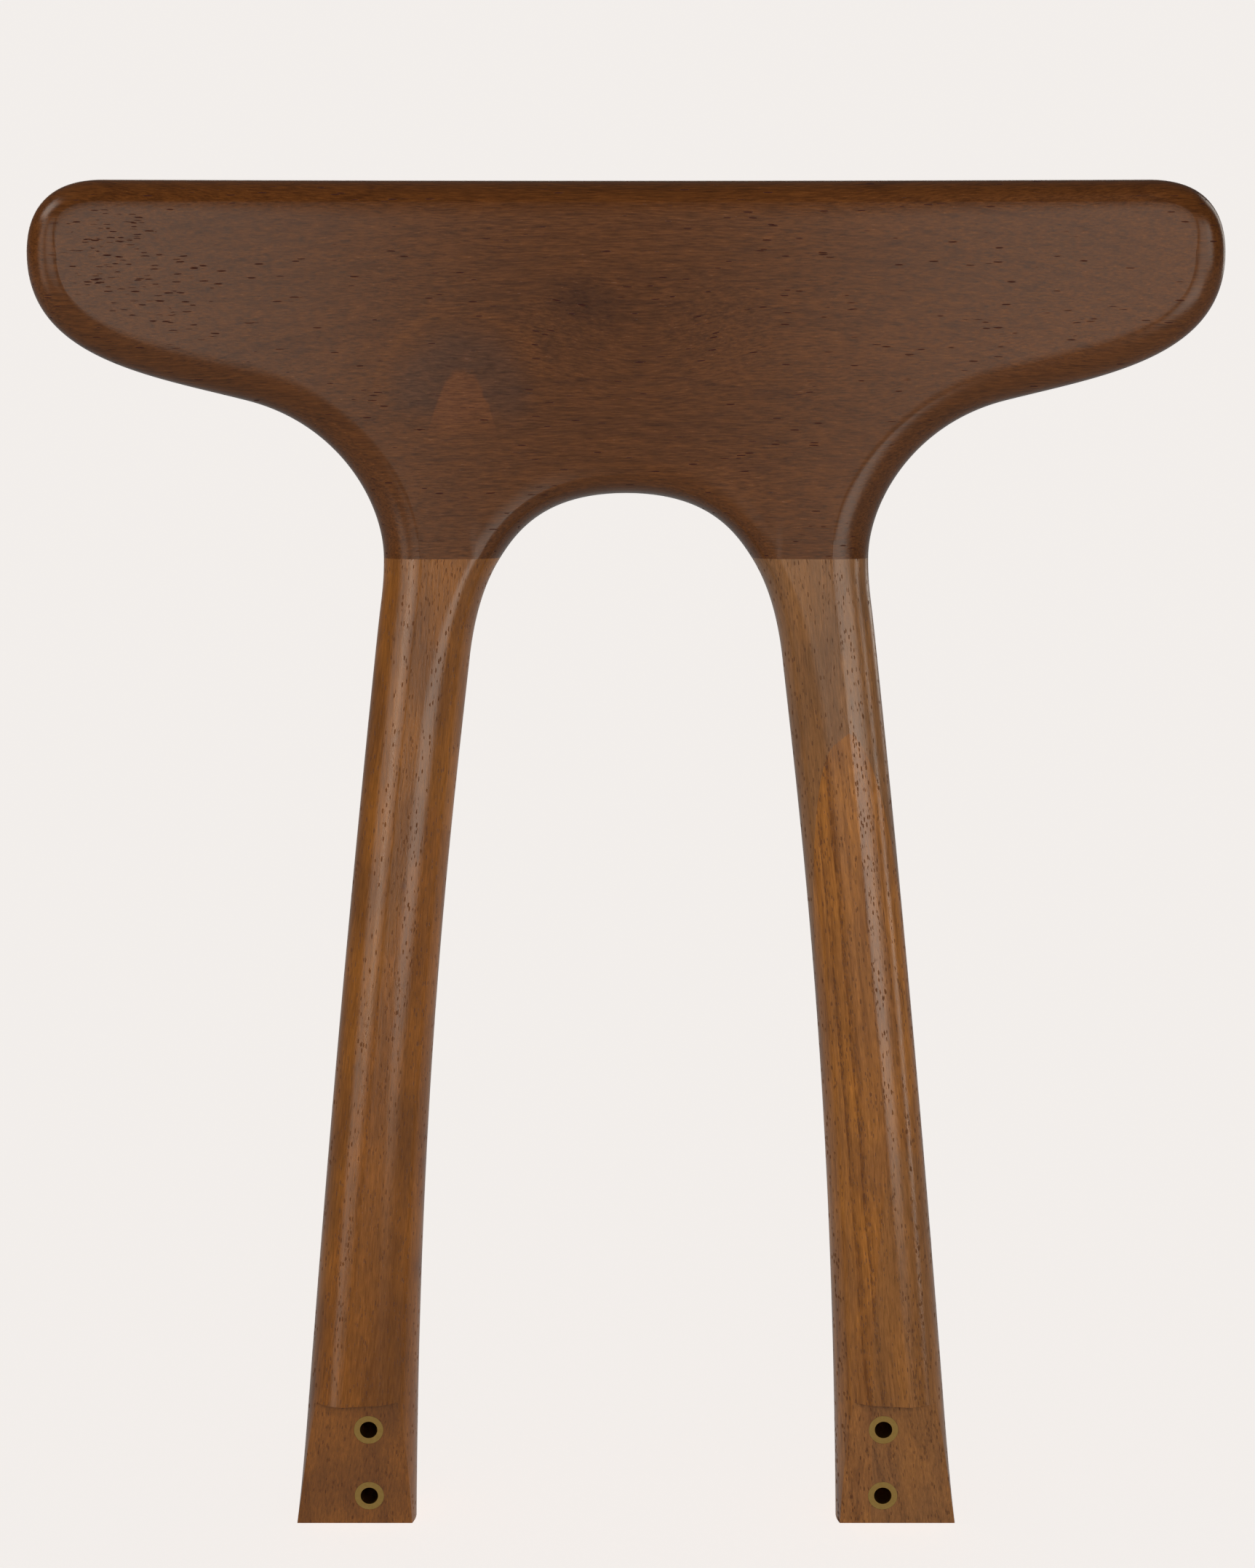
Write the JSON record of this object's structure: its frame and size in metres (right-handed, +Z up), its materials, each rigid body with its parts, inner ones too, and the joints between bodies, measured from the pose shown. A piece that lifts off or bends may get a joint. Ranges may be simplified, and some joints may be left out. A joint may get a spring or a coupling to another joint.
{
  "type": "chair back",
  "caption": "Carved wooden back of a dining chair: a curved T-shaped crest rail on two raked posts, with dowelled joints and flat bolted feet.",
  "frame": {"origin": "centre of the rectangle of four seat bolts, on the plane of the two pads", "axes": "+X to the right seen from the front, +Y backwards, away from the sitter, +Z up"},
  "size_m": [0.4, 0.1031, 0.4545],
  "materials": {
    "crest_wood": "dark walnut stain under satin lacquer",
    "post_wood": "medium walnut stain under satin lacquer",
    "light_post_wood": "medium walnut stain under satin lacquer, on a lighter striped board",
    "dowel_wood": "bare beech",
    "insert_brass": "machined"
  },
  "bodies": {
    "root": {"crest_rail": "crest_wood", "left_post_front_board": "post_wood", "left_post_back_board": "post_wood", "right_post_front_board": "light_post_wood", "right_post_back_board": "post_wood", "left_inner_dowel": "dowel_wood", "left_outer_dowel": "dowel_wood", "right_inner_dowel": "dowel_wood", "right_outer_dowel": "dowel_wood", "left_upper_insert": "insert_brass", "left_lower_insert": "insert_brass", "right_upper_insert": "insert_brass", "right_lower_insert": "insert_brass"}
  },
  "joints": []
}
